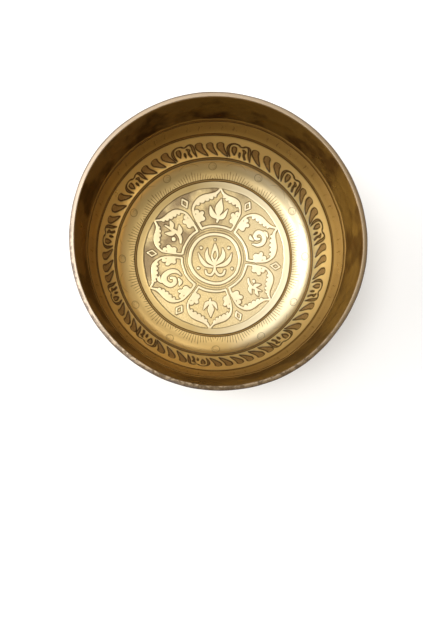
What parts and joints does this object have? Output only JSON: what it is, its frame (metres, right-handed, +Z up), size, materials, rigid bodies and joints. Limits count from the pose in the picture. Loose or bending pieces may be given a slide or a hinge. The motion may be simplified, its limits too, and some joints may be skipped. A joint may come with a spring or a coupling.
{
  "type": "singing bowl",
  "caption": "Hand-hammered brass singing bowl with a ground lip, a flat foot and shallow turned lines inside that part an etched lotus medallion, a leaf border and a plain top band.",
  "frame": {"origin": "middle of the flat face that the bowl rests on", "axes": "+Z up through the mouth; a medallion petal points 5 degrees clockwise of +Y, seen from above"},
  "size_m": [0.2, 0.2, 0.096],
  "materials": {
    "brass": "hand-hammered, polished inside, etched ornament darkened in its recesses, aged outside"
  },
  "bodies": {
    "root": {"bowl": "brass"}
  },
  "joints": []
}
